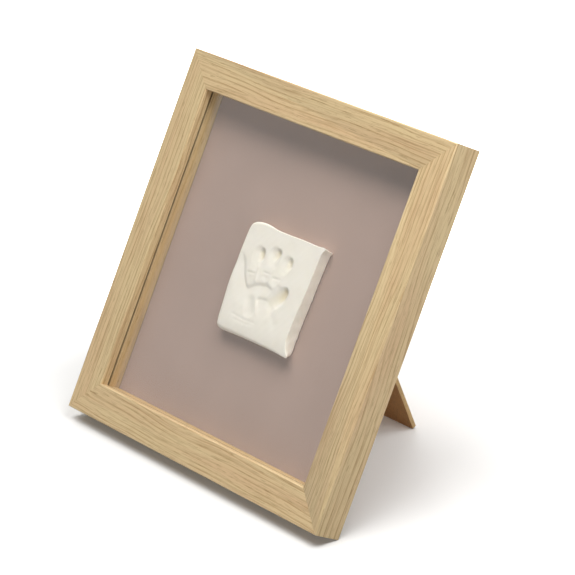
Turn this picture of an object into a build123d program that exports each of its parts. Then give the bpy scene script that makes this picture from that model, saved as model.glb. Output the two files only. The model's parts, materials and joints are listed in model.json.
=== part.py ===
from build123d import *
import os
from math import acos, cos, degrees, radians, sin

# Baby handprint frame: a square box frame of four mitred mouldings with glass, spacers, a backing
# board that carries a slab of clay with a handprint, and a back panel with an easel leg.
# It stands on its lower back edge and on the leg, and leans back.
# +X is the viewer's right, +Y points away from the viewer and +Z up. The origin is on the table,
# under the middle of the whole object. Lengths are in millimetres and angles in degrees.

os.makedirs("parts", exist_ok=True)

# Mouldings
frame_width = 250
frame_height = 250
frame_depth = 22
face_width = 23
lip_thickness = 6
wall_thickness = 10
front_edge_round = 0.8
back_edge_bevel = 1.2

# Stance
lean = 26.3
leg_opening = 46.6

# What lies in the rabbet
rabbet_clearance = 0.5
glass_thickness = 2
glass_edge_bevel = 0.3
board_thickness = 1.4
panel_thickness = 2.5
panel_recess = 0.3

# Clay slab, seen from the front
clay_width = 72
clay_height = 73
clay_right_of_middle = 5
clay_below_middle = 0.5
clay_rim_round = 2
clay_top_left_round = 9
clay_top_right_round = 2.5
clay_lower_right_round = 4
clay_lower_left_round = 4
clay_to_glass = 0.7
pad_size = 14
pad_thickness = 0.6
pad_centre_distance = 38

# Handprint, from the heel of the hand to the tip of the middle finger
print_height = 50
print_left_of_clay = 7
print_below_clay = 0.5

# Easel leg
leg_top_width = 40
leg_foot_width = 70
leg_thickness = 3
leg_corner_cut = 1
leg_edge_round = 0.4
leg_clearance = 0.3
hinge_below_top = 70

# Hinge of the leg
leaf_thickness = 0.8
leaf_inset = 2
leaf_length = 24
leaf_corner_round = 2
pin_radius = 1
pin_running_clearance = 0.05
pin_end_length = 0.4
middle_knuckle_length = 15
knuckle_gap = 0.3
leaf_knuckle_gap = 0.4
rivet_radius = 1.25
rivet_head_radius = 2.5
rivet_head_height = 0.8

# Turn buttons and their screws
button_reach = 11
button_tail_radius = 4
button_tip_radius = 3
button_edge_distance = 6.5
button_thickness = 1
button_clearance = 0.15
screw_radius = 1.2
screw_running_clearance = 0.05
screw_length = 11
screw_head_radius = 2.7
screw_head_height = 1.3

# Corner nails pressed into the back of each mitre
corner_nail_arm = 9
corner_nail_thickness = 0.5
corner_nail_depth = 7

# Sawtooth hanger, pressed into the wood by a pair of prongs at each end
hanger_length = 44
hanger_height = 6.5
hanger_thickness = 0.8
hanger_foot = 5
hanger_rise = 1.6
tooth_depth = 1.2
tooth_count = 10
prong_length = 7
prong_point_length = 4

# Places as shares
button_height_share = 0.25
rivet_row_share = 0.67
rivet_spread_share = 0.3
notch_half_share = 0.33

# Left and right sides of the clay, from start to middle to end, as shares of its half width and half
# height: a hand-cut slab whose left side bows out and whose right side bows in
clay_left_shares = [(-0.90, -1.00), (-1.00, -0.25), (-0.93, 1.00)]
clay_right_shares = [(1.00, 0.98), (0.91, -0.10), (0.96, -1.00)]

# Hollows of the handprint. Each row is the root and then the tip of one press, and each end is a
# place to the right and up, a half width, all as shares of the print's height, and a depth as a
# share of the clay's thickness.
press_shares = {
    "thumb": ((0.18, -0.22, 0.105, 0.29), (0.43, -0.02, 0.105, 0.37)),
    "index_finger": ((0.20, 0.07, 0.080, 0.15), (0.33, 0.37, 0.092, 0.33)),
    "middle_finger": ((0.03, 0.07, 0.080, 0.17), (0.085, 0.43, 0.088, 0.34)),
    "ring_finger": ((-0.14, 0.02, 0.078, 0.15), (-0.19, 0.35, 0.080, 0.32)),
    "little_finger": ((-0.25, -0.13, 0.092, 0.20), (-0.49, 0.20, 0.085, 0.17)),
    "palm_under_fingers": ((-0.14, -0.14, 0.110, 0.20), (0.20, -0.10, 0.110, 0.20)),
    "palm_little_finger_side": ((-0.12, -0.38, 0.150, 0.20), (-0.25, -0.22, 0.170, 0.24)),
    "palm_thumb_side": ((0.10, -0.33, 0.170, 0.22), (0.28, -0.26, 0.150, 0.27)),
}

# Sizes that follow from those above
pane_width = frame_width - 2 * (wall_thickness + rabbet_clearance)
pane_height = frame_height - 2 * (wall_thickness + rabbet_clearance)
spacer_width = face_width - wall_thickness - rabbet_clearance
glass_front = lip_thickness
spacer_front = glass_front + glass_thickness
panel_back = frame_depth - panel_recess
panel_front = panel_back - panel_thickness
board_front = panel_front - board_thickness
spacer_depth = board_front - spacer_front
clay_back = board_front - pad_thickness
clay_thickness = clay_back - spacer_front - clay_to_glass
knuckle_radius = pin_radius + leaf_thickness
leaf_width = leg_top_width - 2 * leaf_inset
end_knuckle_length = (leaf_width - middle_knuckle_length) / 2 - knuckle_gap
leg_inner_face = knuckle_radius + leg_clearance
leg_outer_face = leg_inner_face + leg_thickness

# The leaning frame's own directions, and where it touches the table
lean_sin = sin(radians(lean))
lean_cos = cos(radians(lean))
right = Vector(1, 0, 0)
up_frame = Vector(0, lean_sin, lean_cos)
to_back = Vector(0, lean_cos, -lean_sin)
bevel_drop = back_edge_bevel * lean_sin
front_reach = frame_depth * lean_cos - front_edge_round * (lean_sin + lean_cos - 1)

# The leg's direction and length follow from the stance: its foot reaches the table
leg_sin = sin(radians(leg_opening - lean))
leg_cos = cos(radians(leg_opening - lean))
pin_rise = frame_height - hinge_below_top
pin_depth = panel_back + knuckle_radius
pin_above_table = pin_rise * lean_cos - (pin_depth - frame_depth) * lean_sin - bevel_drop
pin_behind_edge = pin_rise * lean_sin + (pin_depth - frame_depth) * lean_cos
leg_length = (pin_above_table + leg_inner_face * leg_sin) / leg_cos
back_reach = pin_behind_edge + leg_length * leg_sin + leg_outer_face * leg_cos
back_edge = Vector(0, (front_reach - back_reach) / 2, -bevel_drop)
pin_centre = Vector(0, back_edge.Y + pin_behind_edge, pin_above_table)
leg_frame = Plane(origin=pin_centre, x_dir=right, z_dir=Vector(0, leg_cos, leg_sin))


def level(depth, across=0, up=0):
    """A plane parallel to the frame's face, at a depth behind it, that looks at the viewer."""
    middle = back_edge + up_frame * (frame_height / 2 + up) + to_back * (depth - frame_depth)
    return Plane(origin=middle + right * across, x_dir=right, z_dir=to_back * -1)


def finish(builder, name):
    """Label a finished piece and write it."""
    builder.part.label = name
    export_step(builder.part, f"parts/{name}.step")


def fasteners(name, seats, outward, head_radius, head_height, shank_radius, shank_length):
    """Write like fasteners, each with a flat head on its seat and a plain shank."""
    with BuildPart() as group:
        for seat in seats:
            with BuildSketch(Plane(origin=seat, x_dir=right, z_dir=right.cross(outward))):
                Polygon(
                    (0, head_height),
                    (head_radius, head_height),
                    (head_radius, 0),
                    (shank_radius, 0),
                    (shank_radius, -shank_length),
                    (0, -shank_length),
                    align=None,
                )
            revolve(axis=Axis(seat, outward))
    finish(group, name)
    return group.part


# Corner nails: an angle of steel strip across each mitre, in the middle of the moulding's back
nail_corners = [
    Location((-frame_width / 2, -frame_height / 2, 0), (0, 0, 0)),
    Location((frame_width / 2, -frame_height / 2, 0), (0, 0, 90)),
    Location((frame_width / 2, frame_height / 2, 0), (0, 0, 180)),
    Location((-frame_width / 2, frame_height / 2, 0), (0, 0, 270)),
]
nail_near = wall_thickness / 2
nail_far = nail_near + corner_nail_arm
nail_inside = nail_near + corner_nail_thickness
with BuildPart() as corner_nails:
    with BuildSketch(level(frame_depth)):
        with Locations(*nail_corners):
            Polygon(
                (nail_near, nail_near),
                (nail_far, nail_near),
                (nail_far, nail_inside),
                (nail_inside, nail_inside),
                (nail_inside, nail_far),
                (nail_near, nail_far),
                align=None,
            )
    extrude(amount=corner_nail_depth)
finish(corner_nails, "corner_nails")

# Screws of the turn buttons, in the backs of the side mouldings
button_across = frame_width / 2 - button_edge_distance
button_up = frame_height * button_height_share
button_places = {
    "turn_button_left_upper": (-button_across, button_up),
    "turn_button_left_lower": (-button_across, -button_up),
    "turn_button_right_upper": (button_across, button_up),
    "turn_button_right_lower": (button_across, -button_up),
}
screw_standing = button_thickness + 2 * button_clearance
screw_seat = level(frame_depth + screw_standing)
button_screws = fasteners(
    "button_screws",
    [screw_seat.from_local_coords(Vector(x, y)) for x, y in button_places.values()],
    to_back,
    screw_head_radius,
    screw_head_height,
    screw_radius,
    screw_standing + screw_length,
)

# Sawtooth hanger on the back of the top moulding: a raised band whose lower edge is toothed, with
# ends that are bent into the wood as prongs
hanger_up = (frame_height - wall_thickness - back_edge_bevel) / 2
hanger_half = hanger_length / 2
band_half = hanger_half - hanger_foot
band_flat = band_half - hanger_rise
tooth_pitch = 2 * band_flat / tooth_count
notch_half = tooth_pitch * notch_half_share
hanger_outside = hanger_rise + hanger_thickness
hanger_middle = level(frame_depth, 0, hanger_up).origin
with BuildPart() as sawtooth_hanger:
    with BuildSketch(Plane(origin=hanger_middle, x_dir=right, z_dir=up_frame)):
        Polygon(
            (0, hanger_rise),
            (band_flat, hanger_rise),
            (band_half, 0),
            (hanger_half - hanger_thickness, 0),
            (hanger_half - hanger_thickness, -prong_length),
            (hanger_half, -prong_length),
            (hanger_half, hanger_thickness),
            (band_half, hanger_thickness),
            (band_flat, hanger_outside),
            (0, hanger_outside),
            align=None,
        )
        mirror(about=Plane.YZ)
    extrude(amount=hanger_height / 2, both=True)
    with BuildSketch(level(frame_depth + hanger_outside, 0, hanger_up - hanger_height / 2)):
        with GridLocations(tooth_pitch, 0, tooth_count - 1, 1):
            Polygon((-notch_half, 0), (notch_half, 0), (0, tooth_depth), align=None)
    extrude(amount=hanger_thickness, mode=Mode.SUBTRACT)
    with BuildSketch(Plane(origin=hanger_middle, x_dir=up_frame, z_dir=right)):
        Polygon(
            (-hanger_height / 2, prong_length),
            (0, prong_length - prong_point_length),
            (hanger_height / 2, prong_length),
            align=None,
        )
    extrude(amount=hanger_half, both=True, mode=Mode.SUBTRACT)
finish(sawtooth_hanger, "sawtooth_hanger")


def moulding(name, turn, run, span):
    """Write one rabbeted moulding, mitred at both ends, with the slots and holes of what is in it."""
    run_dir = right * cos(radians(turn)) + up_frame * sin(radians(turn))
    side = Plane(origin=level(0).origin, x_dir=run_dir, z_dir=to_back * -1)
    middle = side.from_local_coords(Vector(0, -span / 2, 0))
    with BuildPart() as rail:
        with BuildSketch(Plane(origin=middle, x_dir=side.y_dir, z_dir=side.x_dir)) as section:
            Polygon(
                (0, 0),
                (face_width, 0),
                (face_width, -lip_thickness),
                (wall_thickness, -lip_thickness),
                (wall_thickness, -frame_depth),
                (0, -frame_depth),
                align=None,
            )
            fillet(section.vertices().group_by(Axis.Y)[-1], radius=front_edge_round)
            chamfer(section.vertices().group_by(Axis.Y)[0].sort_by(Axis.X)[0], length=back_edge_bevel)
        extrude(amount=run / 2, both=True)
        for end in (-1, 1):
            corner = side.from_local_coords(Vector(end * run / 2, -span / 2, 0))
            mitre = Plane(origin=corner, z_dir=side.x_dir * end + side.y_dir)
            split(bisect_by=mitre, keep=Keep.BOTTOM)
        for insert in (corner_nails.part, button_screws, sawtooth_hanger.part):
            add(insert, mode=Mode.SUBTRACT)
    finish(rail, name)


moulding("rail_bottom", 0, frame_width, frame_height)
moulding("rail_right", 90, frame_height, frame_width)
moulding("rail_top", 180, frame_width, frame_height)
moulding("rail_left", 270, frame_height, frame_width)

# Glass pane with ground edges, behind the lip
with BuildPart() as glass_pane:
    with BuildSketch(level(spacer_front)):
        Rectangle(pane_width, pane_height)
    extrude(amount=glass_thickness)
    chamfer(glass_pane.edges().filter_by(Axis(pin_centre, to_back), reverse=True), length=glass_edge_bevel)
finish(glass_pane, "glass_pane")

# Spacers: strips that hold the glass off the board, flush with the lip's inner edge
side_spacer_height = pane_height - 2 * spacer_width
spacers = {
    "spacer_top": (0, (pane_height - spacer_width) / 2, pane_width, spacer_width),
    "spacer_bottom": (0, (spacer_width - pane_height) / 2, pane_width, spacer_width),
    "spacer_left": ((spacer_width - pane_width) / 2, 0, spacer_width, side_spacer_height),
    "spacer_right": ((pane_width - spacer_width) / 2, 0, spacer_width, side_spacer_height),
}
for name, (across, up, width, height) in spacers.items():
    with BuildPart() as spacer:
        with BuildSketch(level(board_front, across, up)):
            Rectangle(width, height)
        extrude(amount=spacer_depth)
    finish(spacer, name)

# Backing board
with BuildPart() as backing_board:
    with BuildSketch(level(panel_front)):
        Rectangle(pane_width, pane_height)
    extrude(amount=board_thickness)
finish(backing_board, "backing_board")

# Adhesive pads between the board and the clay
with BuildPart() as adhesive_pads:
    with BuildSketch(level(board_front, clay_right_of_middle, -clay_below_middle)):
        with GridLocations(pad_centre_distance, pad_centre_distance, 2, 2):
            Rectangle(pad_size, pad_size)
    extrude(amount=pad_thickness)
finish(adhesive_pads, "adhesive_pads")

# Clay slab with the handprint pressed into its front
clay_corner_rounds = {
    (-1, 1): clay_top_left_round,
    (1, 1): clay_top_right_round,
    (1, -1): clay_lower_right_round,
    (-1, -1): clay_lower_left_round,
}
clay_front = level(clay_back - clay_thickness, clay_right_of_middle, -clay_below_middle)


def press_end(right_share, up_share, half_width_share, depth_share):
    """Centre and radius of the ball that leaves a round hollow of this width and depth."""
    half_width = half_width_share * print_height
    depth = depth_share * clay_thickness
    radius = (half_width**2 + depth**2) / (2 * depth)
    place = Vector(
        right_share * print_height - print_left_of_clay,
        up_share * print_height - print_below_clay,
        radius - depth,
    )
    return clay_front.from_local_coords(place), radius


left_bow = [(x * clay_width / 2, y * clay_height / 2) for x, y in clay_left_shares]
right_bow = [(x * clay_width / 2, y * clay_height / 2) for x, y in clay_right_shares]
with BuildPart() as clay_print:
    with BuildSketch(level(clay_back, clay_right_of_middle, -clay_below_middle)) as clay_outline:
        with BuildLine():
            left_side = ThreePointArc(*left_bow)
            right_side = ThreePointArc(*right_bow)
            Line(left_side @ 1, right_side @ 0)
            Line(right_side @ 1, left_side @ 0)
        make_face()
        for (side, end), corner_round in clay_corner_rounds.items():
            corner = (side * clay_width / 2, end * clay_height / 2)
            fillet(clay_outline.vertices().sort_by_distance(corner)[0], radius=corner_round)
    extrude(amount=clay_thickness)
    front_rim = clay_print.faces().sort_by(Axis(clay_front.origin, clay_front.z_dir))[-1].edges()
    fillet(front_rim, radius=clay_rim_round)
    for root_shares, tip_shares in press_shares.values():
        root, root_radius = press_end(*root_shares)
        tip, tip_radius = press_end(*tip_shares)
        reach = (tip - root).length
        along = (tip - root).normalized()
        touch = degrees(acos((root_radius - tip_radius) / reach))
        touch_point = Vector(cos(radians(touch)), sin(radians(touch)))
        with BuildSketch(Plane(origin=root, x_dir=along, z_dir=along.cross(clay_front.z_dir))):
            with BuildLine():
                CenterArc((0, 0), root_radius, touch, 180 - touch)
                Line(touch_point * root_radius, touch_point * tip_radius + Vector(reach, 0))
                CenterArc((reach, 0), tip_radius, 0, touch)
                Line((reach + tip_radius, 0), (-root_radius, 0))
            make_face()
        revolve(axis=Axis(root, along), mode=Mode.SUBTRACT)
finish(clay_print, "clay_print")

# Back panel, with holes for the rivets of the hinge
pin_up = pin_rise - frame_height / 2
rivet_row = leaf_length * rivet_row_share
rivet_spread = leaf_width * rivet_spread_share
leaf_rivet_places = [(-rivet_spread, rivet_row), (rivet_spread, rivet_row)]
panel_rivet_places = [(x, pin_up + y) for x, y in leaf_rivet_places]
with BuildPart() as back_panel:
    with BuildSketch(level(panel_back)):
        Rectangle(pane_width, pane_height)
    extrude(amount=panel_thickness)
    with BuildSketch(level(panel_back)):
        with Locations(*panel_rivet_places):
            Circle(rivet_radius)
    extrude(amount=panel_thickness, mode=Mode.SUBTRACT)
finish(back_panel, "back_panel")

# Fixed leaf of the hinge, flat on the panel above the pin, with a knuckle at each end
knuckle_end = (leaf_width - end_knuckle_length) / 2
leaf_start = knuckle_radius + leaf_knuckle_gap
with BuildPart() as hinge_leaf_fixed:
    with BuildSketch(level(panel_back, 0, pin_up)):
        with Locations((0, (leaf_start + leaf_length) / 2)):
            RectangleRounded(leaf_width, leaf_length - leaf_start, leaf_corner_round)
        with Locations((0, leaf_start + leaf_corner_round)):
            Rectangle(leaf_width, 2 * leaf_corner_round)
        with Locations((-knuckle_end, leaf_start / 2), (knuckle_end, leaf_start / 2)):
            Rectangle(end_knuckle_length, leaf_start)
        with Locations(*leaf_rivet_places):
            Circle(rivet_radius, mode=Mode.SUBTRACT)
    extrude(amount=-leaf_thickness)
    for end in (-knuckle_end, knuckle_end):
        with BuildSketch(Plane(origin=pin_centre + right * end, x_dir=up_frame, z_dir=right)):
            Circle(knuckle_radius)
        extrude(amount=end_knuckle_length / 2, both=True)
    with BuildSketch(Plane(origin=pin_centre, x_dir=up_frame, z_dir=right)):
        Circle(pin_radius)
    extrude(amount=leaf_width / 2, both=True, mode=Mode.SUBTRACT)
finish(hinge_leaf_fixed, "hinge_leaf_fixed")

# Moving leaf, flat on the leg's inner face, cranked from the middle knuckle
with BuildPart() as hinge_leaf_moving:
    with BuildSketch(leg_frame.offset(leg_inner_face)):
        with Locations((0, (leaf_start + leaf_length) / 2)):
            RectangleRounded(leaf_width, leaf_length - leaf_start, leaf_corner_round)
        with Locations((0, leaf_start + leaf_corner_round)):
            Rectangle(leaf_width, 2 * leaf_corner_round)
        with Locations(*leaf_rivet_places):
            Circle(rivet_radius, mode=Mode.SUBTRACT)
    extrude(amount=-leaf_thickness)
    with BuildSketch(Plane(origin=pin_centre, x_dir=leg_frame.y_dir, z_dir=right)):
        Circle(knuckle_radius)
        Polygon(
            (0, pin_radius),
            (0, knuckle_radius),
            (leaf_start, leg_inner_face),
            (leaf_start, leg_inner_face - leaf_thickness),
            align=None,
        )
        Circle(pin_radius + pin_running_clearance, mode=Mode.SUBTRACT)
    extrude(amount=middle_knuckle_length / 2, both=True)
finish(hinge_leaf_moving, "hinge_leaf_moving")

# Hinge pin, held by the fixed leaf's knuckles
with BuildPart() as hinge_pin:
    with BuildSketch(Plane(origin=pin_centre, x_dir=up_frame, z_dir=right)):
        Circle(pin_radius)
    extrude(amount=leaf_width / 2 + pin_end_length, both=True)
finish(hinge_pin, "hinge_pin")

# Easel leg, with a bevelled heel above the pin that stops it at its opening
heel_depth = knuckle_radius - leaf_thickness - leg_clearance
heel_reach = (heel_depth + leg_outer_face * cos(radians(leg_opening))) / sin(radians(leg_opening))
heel_stop = level(panel_back + leaf_thickness + leg_clearance)
with BuildPart() as easel_leg:
    with BuildSketch(leg_frame.offset(leg_inner_face)) as leg_outline:
        Polygon(
            (-leg_top_width / 2, -heel_reach),
            (leg_top_width / 2, -heel_reach),
            (leg_foot_width / 2, leg_length),
            (-leg_foot_width / 2, leg_length),
            align=None,
        )
        chamfer(leg_outline.vertices().group_by(Axis.Y)[-1], length=leg_corner_cut)
        with Locations(*leaf_rivet_places):
            Circle(rivet_radius, mode=Mode.SUBTRACT)
    extrude(amount=leg_thickness)
    outer_rim = easel_leg.faces().sort_by(Axis(pin_centre, leg_frame.z_dir))[-1].outer_wire().edges()
    fillet(outer_rim, radius=leg_edge_round)
    split(bisect_by=heel_stop, keep=Keep.BOTTOM)
finish(easel_leg, "easel_leg")

# Rivets of the two leaves: their heads are outside, and their tails are hammered flush
leaf_back = level(panel_back + leaf_thickness)
leg_outside = leg_frame.offset(leg_outer_face)
panel_rivet_seats = [leaf_back.from_local_coords(Vector(x, y)) for x, y in panel_rivet_places]
leg_rivet_seats = [leg_outside.from_local_coords(Vector(x, y)) for x, y in leaf_rivet_places]
for name, seats, outward, plate_thickness in (
    ("panel_rivets", panel_rivet_seats, to_back, panel_thickness),
    ("leg_rivets", leg_rivet_seats, leg_frame.z_dir, leg_thickness),
):
    grip = leaf_thickness + plate_thickness
    fasteners(name, seats, outward, rivet_head_radius, rivet_head_height, rivet_radius, grip)

# Turn buttons that keep the back panel in, each free to turn under its screw's head
for name, (across, up) in button_places.items():
    inward = -1 if across > 0 else 1
    with BuildPart() as turn_button:
        with BuildSketch(level(frame_depth + button_clearance + button_thickness, across, up)):
            Circle(button_tail_radius)
            with Locations((inward * button_reach, 0)):
                Circle(button_tip_radius)
            make_hull()
            Circle(screw_radius + screw_running_clearance, mode=Mode.SUBTRACT)
        extrude(amount=button_thickness)
    finish(turn_button, name)
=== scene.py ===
"""Finishes a box frame with a baby's handprint in clay, and stands it on a plain studio stage."""

import json
import math
from functools import partial

import bmesh
import bpy
import numpy as np
from bpy.props import FloatProperty, FloatVectorProperty, IntProperty, PointerProperty
from mathutils import Matrix, Vector


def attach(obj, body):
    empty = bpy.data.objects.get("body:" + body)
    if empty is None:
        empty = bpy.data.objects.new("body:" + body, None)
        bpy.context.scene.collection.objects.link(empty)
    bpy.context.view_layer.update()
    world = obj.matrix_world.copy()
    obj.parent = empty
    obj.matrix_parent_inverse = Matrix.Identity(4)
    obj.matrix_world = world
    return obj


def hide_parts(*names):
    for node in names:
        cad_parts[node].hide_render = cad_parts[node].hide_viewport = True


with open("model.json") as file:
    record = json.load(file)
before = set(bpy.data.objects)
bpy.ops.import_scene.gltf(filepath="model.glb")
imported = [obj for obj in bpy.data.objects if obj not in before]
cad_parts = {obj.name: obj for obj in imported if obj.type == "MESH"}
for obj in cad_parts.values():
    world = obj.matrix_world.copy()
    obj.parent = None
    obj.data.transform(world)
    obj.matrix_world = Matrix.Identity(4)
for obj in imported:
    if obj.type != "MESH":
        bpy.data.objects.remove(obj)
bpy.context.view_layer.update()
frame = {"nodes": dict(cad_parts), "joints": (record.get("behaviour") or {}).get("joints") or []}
nodes = frame["nodes"]

bl_info = {
    "name": "Baby handprint frame",
    "version": (1, 0, 0),
    "blender": (4, 5, 0),
    "location": "View3D > Sidebar > Handprint Frame",
    "description": "Oak foil, glass, card, pressed clay, fibreboard and fittings of a baby handprint frame",
    "category": "Object",
}

RAILS = {"rail_top": "across", "rail_bottom": "across", "rail_left": "upright", "rail_right": "upright"}
TURN_BUTTONS = [name for name in nodes if name.startswith("turn_button")]
ZINC_PARTS = ["hinge_leaf_fixed", "hinge_leaf_moving", "hinge_pin", "corner_nails"]

# A millimetre in metres, the unit of the row frame.
MM = 0.001
# Share of a pin's head that is domed; the rest rolls over its edge.
DOME_SHARE = 0.93
# Length of one wave of Blender's wave texture at scale 1.
WAVE_LENGTH = 0.314

# Depths behind the frame's front, in metres: where painted shade makes the spacers grow dull, and where the
# painted shadows in the gaps at the glass and at the card fade.
SHADE_SPAN = (0.009, 0.0178)
GLASS_GAP_SHADOW = (0.0083, 0.0085)
CARD_GAP_SHADOW = (0.0172, 0.0174)
# Saturation of the spacers' wood at the card, a warm painted shade.
CARD_SHADE_SATURATION = 1.35

# The clay slab, in millimetres from the middle of the frame. Each station of its outline holds the
# front's place across and up, the back's place across and up, and how far the rim is rounded.
# The line runs from the lower left corner along the bottom; the corners are stations 0, 7, 17 and 25.
SLAB_CORNERS = (0, 7, 17, 25)
SLAB_OUTLINE = (
    (-27.9, -35.3, -27.6, -35.4, 2.6),
    (-24.5, -37.0, -24.2, -37.0, 2.9),
    (-12.0, -36.7, -12.0, -36.7, 2.6),
    (2.0, -36.3, 2.0, -36.4, 2.2),
    (16.0, -36.2, 16.0, -36.3, 1.9),
    (30.0, -36.3, 29.0, -36.3, 1.5),
    (39.5, -36.6, 35.6, -36.1, 0.7),
    (42.4, -36.2, 37.7, -34.6, 0.1),
    (39.7, -32.6, 38.3, -30.0, 0.3),
    (37.8, -27.4, 38.4, -25.0, 0.4),
    (37.5, -20.0, 38.5, -18.5, 0.4),
    (38.1, -10.0, 38.9, -9.5, 0.4),
    (39.2, 0.0, 39.4, 0.0, 0.4),
    (39.9, 10.0, 39.9, 10.0, 0.4),
    (40.4, 20.0, 40.3, 20.0, 0.4),
    (40.8, 27.0, 40.7, 27.0, 0.5),
    (41.4, 31.6, 41.4, 31.8, 0.4),
    (43.2, 35.7, 42.3, 34.4, 0.1),
    (36.0, 35.5, 36.0, 34.0, 0.4),
    (22.0, 35.6, 22.0, 34.0, 0.4),
    (8.0, 35.2, 8.0, 33.6, 0.5),
    (-3.0, 35.3, -3.0, 33.7, 0.7),
    (-12.0, 36.2, -12.0, 34.6, 1.1),
    (-20.0, 35.8, -20.0, 34.4, 1.8),
    (-25.2, 34.3, -25.0, 33.2, 2.2),
    (-27.8, 31.9, -27.8, 31.9, 2.6),
    (-28.6, 27.0, -28.6, 27.0, 2.3),
    (-28.9, 19.0, -28.9, 19.0, 2.0),
    (-29.3, 9.0, -29.3, 9.0, 2.0),
    (-30.1, -2.0, -30.0, -2.0, 2.4),
    (-30.8, -11.0, -30.6, -11.0, 3.0),
    (-30.3, -19.0, -30.2, -19.0, 3.4),
    (-29.7, -26.0, -29.6, -26.0, 3.4),
    (-29.1, -31.5, -29.0, -31.5, 3.0),
)

# Waves of the hand-rolled clay: radians per millimetre across and up, start in radians, and height.
SWELLS = ((0.31, 0.12, 0.7, 1), (0.17, -0.35, 2.1, 1), (0.62, 0.47, 4.0, 0.6), (1.1, -0.9, 1.3, 0.4))
# In millimetres: how far the slab's walls swell, how far its back edge is cut, and the depth over which
# its walls still follow the print.
WALL_SWELL = 0.3
BACK_ROUND = 0.4
WRAP_DEPTH = 4

# The hand, pressed in finger by finger. Each press runs through stations of across, up, half width and
# depth, and is deepest at the end where the skin pushed hardest.
PRESSES = {
    "ring finger tip": ((-9.2, 18.1, 3.4, 3.4), (-8.5, 15.6, 3.2, 3.1), (-9.8, 11.4, 3.4, 0.7)),
    "ring finger": ((-11.4, 17.4, 5.2, 1.4), (-11.8, 9.0, 4.8, 0.3)),
    "ring finger base": ((-11.9, 1.4, 4.4, 0.8), (-11.0, -2.6, 4.0, 0.4)),
    "middle finger tip": ((5.1, 21.5, 3.5, 3.5), (4.6, 20.0, 3.5, 2.9), (2.8, 15.6, 3.8, 0.8)),
    "middle finger": ((2.6, 19.8, 5.6, 1.7), (2.0, 10.6, 4.8, 0.3)),
    "middle finger base": ((1.0, 4.4, 4.2, 0.8), (0.6, 1.8, 4.0, 0.4)),
    "index finger tip": ((17.5, 19.1, 3.4, 3.3), (18.0, 17.6, 3.2, 2.9), (15.4, 13.6, 3.8, 0.8)),
    "index finger": ((15.2, 17.6, 5.6, 1.6), (12.0, 10.0, 4.8, 0.3)),
    "index finger base": ((9.4, 4.0, 4.2, 0.8), (7.6, 1.8, 4.0, 0.4)),
    "thumb tip": ((22.2, 0.4, 3.8, 4.6), (21.4, -2.4, 4.0, 4.0), (17.6, -7.4, 4.6, 1.8)),
    "thumb": ((19.8, -2.8, 6.2, 2.8), (13.6, -8.6, 6.2, 1.9)),
    "side of the thumb": ((15.6, 0.6, 3.4, 0.7), (13.0, -3.6, 4.0, 0.9)),
    "hollow of the palm": ((-5.4, -12.6, 5.4, 1.3), (-3.0, -18.6, 5.4, 0.9)),
}
# Share of a pad's line over which it runs out at each end, breadth in millimetres of the soft edge above
# the line, and the curve of the rise below it.
PAD_RUN_OUT = 0.16
PAD_EDGE = 1.7
PAD_CURVE = 1.3

# Pads of the hand: a line of points across and up, the reach below it, and the depth. At the line the
# clay drops at once, and below it rises again over the reach.
PALM_LINE = ((-27.6, 14.9), (-22.4, 8.6), (-17.6, -0.4), (-13.2, -5.8), (-10.6, -6.6))
PALM_LINE += ((-6.0, -3.8), (-1.0, -1.7), (5.0, -0.7), (10.0, -1.4), (13.4, -3.8))
THUMB_LINE = ((-0.6, -12.0), (3.4, -9.6), (9.0, -8.9), (14.0, -10.4), (18.6, -13.6))
PADS = {
    "palm": (PALM_LINE, 12.0, 1.4),
    "ball of the thumb": (THUMB_LINE, 13.0, 1.3),
}
# Folds of the skin: points across and up, half width, and height above the press around them.
CREASES = (
    (((-15.0, 3.6), (-8.4, 4.2)), 0.8, -0.4),
    (((-1.6, 7.3), (5.0, 7.5)), 0.8, -0.4),
    (((8.4, 6.0), (14.2, 6.6)), 0.8, -0.4),
    (((-7.2, 9.0), (-6.0, 0.6)), 1.4, 0.65),
    (((6.0, 11.0), (4.9, 2.6)), 1.3, 0.65),
    (((-10.6, 2.4), (-10.2, -2.4)), 2.6, 0.6),
    (((1.6, 5.4), (1.2, 1.8)), 2.6, 0.5),
    (((9.4, 4.0), (8.4, 1.4)), 2.4, 0.5),
    (((-16.0, -24.6), (-6.0, -25.4), (5.0, -25.0)), 0.8, -0.26),
    (((-13.0, -27.4), (-3.0, -27.6), (4.0, -26.8)), 0.8, -0.18),
    (((16.5, -15.0), (22.5, -20.5)), 2.6, -0.3),
)

# Near lamps: degrees above the frame's normal and to its right, distance and width in metres, watts.
SOFTBOXES = {"right_softbox": (60, 28, 0.8, 0.4, 3.1), "rear_softbox": (90, 12, 0.7, 0.35, 1.4)}
# Far lamps: the same two angles, and the strength.
FAR_LAMPS = {
    "front_lamp": (45, 0, 1.22),
    "upper_lamp": (60, -10, 0.76),
    "left_rear_lamp": (95, -45, 0.82),
    "low_right_lamp": (-5, 76, 0.67),
}


def linear(code):
    """The linear colour, with alpha, of an sRGB hex code."""
    shares = [int(code[start : start + 2], 16) / 255 for start in (1, 3, 5)]
    return (*(s / 12.92 if s <= 0.04045 else ((s + 0.055) / 1.055) ** 2.4 for s in shares), 1.0)


def colour(name, description, code):
    """A colour that the user may change."""
    return FloatVectorProperty(
        name=name, description=description, subtype="COLOR", size=4, min=0, max=1, default=linear(code)
    )


def length(name, description, millimetres):
    """A length that the user may change."""
    return FloatProperty(
        name=name, description=description, unit="LENGTH", min=0, precision=5, default=millimetres / 1000
    )


def angle(name, description, degrees):
    """An angle that the user may change."""
    return FloatProperty(name=name, description=description, subtype="ANGLE", default=math.radians(degrees))


def number(name, description, value):
    """A share, or another plain number, that the user may change."""
    return FloatProperty(name=name, description=description, min=0, default=value)


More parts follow.
